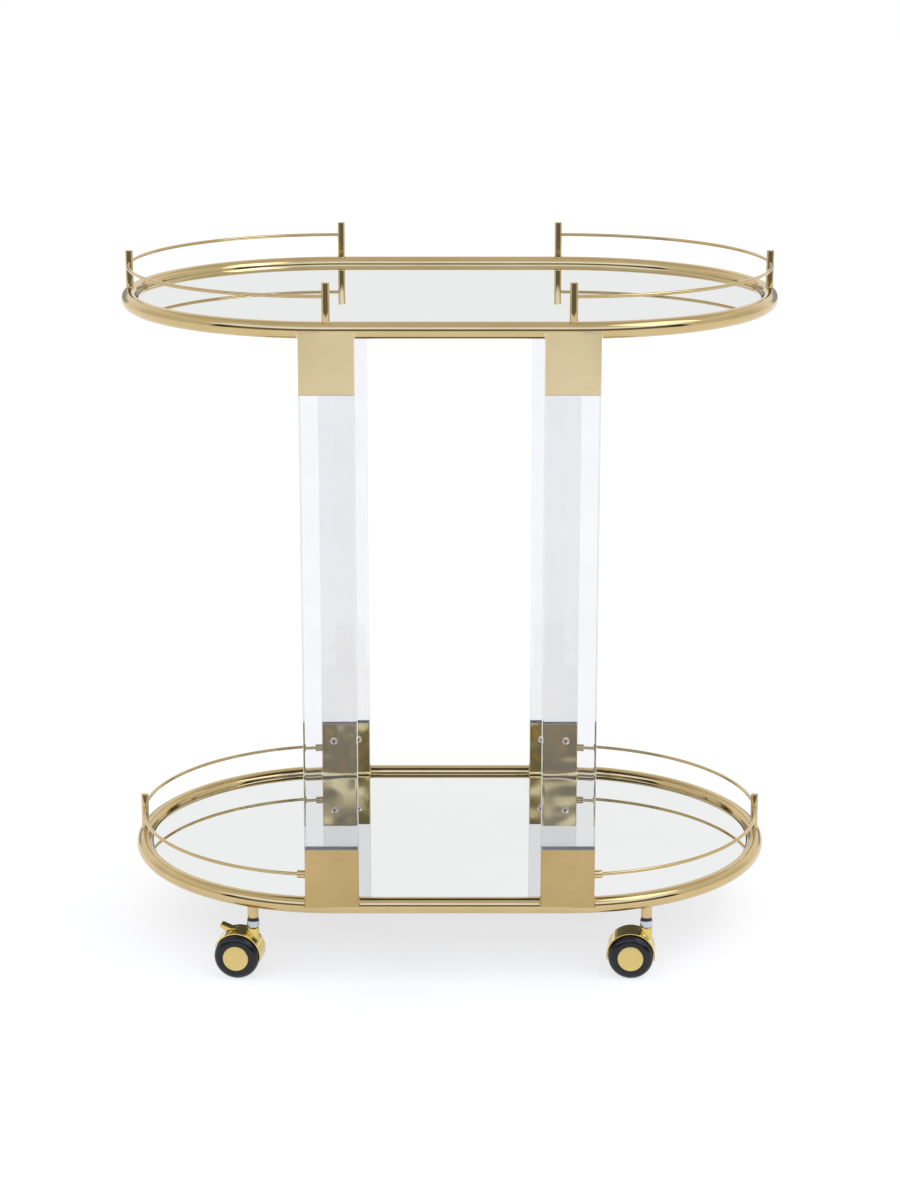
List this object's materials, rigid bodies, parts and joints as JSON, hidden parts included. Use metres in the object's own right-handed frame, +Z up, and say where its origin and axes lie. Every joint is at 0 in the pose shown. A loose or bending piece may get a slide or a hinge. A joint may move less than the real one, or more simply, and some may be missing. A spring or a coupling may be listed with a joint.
{
  "type": "bar cart",
  "caption": "Oval bar cart with mirror shelves in tubular gold rings, flat clear acrylic legs in gold sleeves, gallery rails round its ends, and twin-wheel swivel casters.",
  "frame": {"origin": "on the floor under the middle of the cart", "axes": "+X along the cart's length towards its right end, +Y from the front to the rear, +Z up"},
  "size_m": [0.76, 0.492, 0.8065],
  "materials": {
    "polished_gold_tube": "polished, pale champagne gold",
    "polished_gold_rod": "polished, pale champagne gold",
    "polished_gold_fittings": "polished, pale champagne gold",
    "brushed_gold_sheet": "brushed along its width, pale champagne gold",
    "satin_gold_strip": "satin",
    "screws": "polished",
    "gold_castings": "polished, warmer gold than the tubes",
    "gold_caps": "satin metallic gold",
    "mirror": "clear silvered mirror glass with polished edges",
    "clear_acrylic": "clear, polished, very slightly cool",
    "clear_pads": "soft, translucent",
    "black_plastic": "satin black",
    "steel": "bright zinc",
    "black_tread": "smooth, glossy black polyurethane"
  },
  "bodies": {
    "cart": {"acrylic_leg_front_left": "clear_acrylic", "acrylic_leg_front_right": "clear_acrylic", "acrylic_leg_rear_left": "clear_acrylic", "acrylic_leg_rear_right": "clear_acrylic", "caster_sockets": "satin_gold_strip", "caster_stems": "steel", "lower_ledge": "satin_gold_strip", "lower_mirror": "mirror", "lower_rail_ferrules_left": "polished_gold_fittings", "lower_rail_ferrules_right": "polished_gold_fittings", "lower_rail_left": "polished_gold_rod", "lower_rail_post_left": "polished_gold_fittings", "lower_rail_post_right": "polished_gold_fittings", "lower_rail_right": "polished_gold_rod", "lower_ring_tube": "polished_gold_tube", "lower_sleeve_front_left": "brushed_gold_sheet", "lower_sleeve_front_right": "brushed_gold_sheet", "lower_sleeve_rear_left": "brushed_gold_sheet", "lower_sleeve_rear_right": "brushed_gold_sheet", "mirror_pads": "clear_pads", "sleeve_screws": "screws", "socket_inserts": "black_plastic", "upper_ledge": "satin_gold_strip", "upper_mirror": "mirror", "upper_rail_left": "polished_gold_rod", "upper_rail_posts_left": "polished_gold_fittings", "upper_rail_posts_right": "polished_gold_fittings", "upper_rail_right": "polished_gold_rod", "upper_ring_tube": "polished_gold_tube", "upper_sleeve_front_left": "brushed_gold_sheet", "upper_sleeve_front_right": "brushed_gold_sheet", "upper_sleeve_rear_left": "brushed_gold_sheet", "upper_sleeve_rear_right": "brushed_gold_sheet"},
    "caster_front_left": {"caster_hood_front_left": "gold_castings", "caster_axle_front_left": "steel"},
    "wheel_front_left_outer": {"wheel_front_left_outer": "black_tread", "wheel_cap_front_left_outer": "gold_caps"},
    "wheel_front_left_inner": {"wheel_front_left_inner": "black_tread", "wheel_cap_front_left_inner": "gold_caps"},
    "brake_front_left": {"brake_lever_front_left": "gold_castings"},
    "caster_rear_left": {"caster_hood_rear_left": "gold_castings", "caster_axle_rear_left": "steel"},
    "wheel_rear_left_outer": {"wheel_rear_left_outer": "black_tread", "wheel_cap_rear_left_outer": "gold_caps"},
    "wheel_rear_left_inner": {"wheel_rear_left_inner": "black_tread", "wheel_cap_rear_left_inner": "gold_caps"},
    "brake_rear_left": {"brake_lever_rear_left": "gold_castings"},
    "caster_front_right": {"caster_hood_front_right": "gold_castings", "caster_axle_front_right": "steel"},
    "wheel_front_right_outer": {"wheel_front_right_outer": "black_tread", "wheel_cap_front_right_outer": "gold_caps"},
    "wheel_front_right_inner": {"wheel_front_right_inner": "black_tread", "wheel_cap_front_right_inner": "gold_caps"},
    "caster_rear_right": {"caster_hood_rear_right": "gold_castings", "caster_axle_rear_right": "steel"},
    "wheel_rear_right_outer": {"wheel_rear_right_outer": "black_tread", "wheel_cap_rear_right_outer": "gold_caps"},
    "wheel_rear_right_inner": {"wheel_rear_right_inner": "black_tread", "wheel_cap_rear_right_inner": "gold_caps"}
  },
  "joints": [
    {"name": "swivel_front_left", "type": "hinge", "parent": "cart", "child": "caster_front_left", "pos_m": [-0.226, -0.21787, 0.06], "axis": [0, 0, 1], "continuous": true},
    {"name": "roll_front_left_outer", "type": "hinge", "parent": "caster_front_left", "child": "wheel_front_left_outer", "pos_m": [-0.24285, -0.21559, 0.026], "axis": [0.134, 0.991, 0], "continuous": true},
    {"name": "roll_front_left_inner", "type": "hinge", "parent": "caster_front_left", "child": "wheel_front_left_inner", "pos_m": [-0.24285, -0.21559, 0.026], "axis": [0.134, 0.991, 0], "continuous": true},
    {"name": "brake_front_left", "type": "hinge", "parent": "caster_front_left", "child": "brake_front_left", "pos_m": [-0.24681, -0.21506, 0.0455], "axis": [-0.134, -0.991, 0], "range_deg": [0, 18]},
    {"name": "swivel_rear_left", "type": "hinge", "parent": "cart", "child": "caster_rear_left", "pos_m": [-0.226, 0.21787, 0.06], "axis": [0, 0, 1], "continuous": true},
    {"name": "roll_rear_left_outer", "type": "hinge", "parent": "caster_rear_left", "child": "wheel_rear_left_outer", "pos_m": [-0.24285, 0.22015, 0.026], "axis": [0.134, 0.991, 0], "continuous": true},
    {"name": "roll_rear_left_inner", "type": "hinge", "parent": "caster_rear_left", "child": "wheel_rear_left_inner", "pos_m": [-0.24285, 0.22015, 0.026], "axis": [0.134, 0.991, 0], "continuous": true},
    {"name": "brake_rear_left", "type": "hinge", "parent": "caster_rear_left", "child": "brake_rear_left", "pos_m": [-0.24681, 0.22069, 0.0455], "axis": [-0.134, -0.991, 0], "range_deg": [0, 18]},
    {"name": "swivel_front_right", "type": "hinge", "parent": "cart", "child": "caster_front_right", "pos_m": [0.226, -0.21787, 0.06], "axis": [0, 0, 1], "continuous": true},
    {"name": "roll_front_right_outer", "type": "hinge", "parent": "caster_front_right", "child": "wheel_front_right_outer", "pos_m": [0.20907, -0.21639, 0.026], "axis": [0.0872, 0.9962, 0], "continuous": true},
    {"name": "roll_front_right_inner", "type": "hinge", "parent": "caster_front_right", "child": "wheel_front_right_inner", "pos_m": [0.20907, -0.21639, 0.026], "axis": [0.0872, 0.9962, 0], "continuous": true},
    {"name": "swivel_rear_right", "type": "hinge", "parent": "cart", "child": "caster_rear_right", "pos_m": [0.226, 0.21787, 0.06], "axis": [0, 0, 1], "continuous": true},
    {"name": "roll_rear_right_outer", "type": "hinge", "parent": "caster_rear_right", "child": "wheel_rear_right_outer", "pos_m": [0.20907, 0.21935, 0.026], "axis": [0.0872, 0.9962, 0], "continuous": true},
    {"name": "roll_rear_right_inner", "type": "hinge", "parent": "caster_rear_right", "child": "wheel_rear_right_inner", "pos_m": [0.20907, 0.21935, 0.026], "axis": [0.0872, 0.9962, 0], "continuous": true}
  ]
}
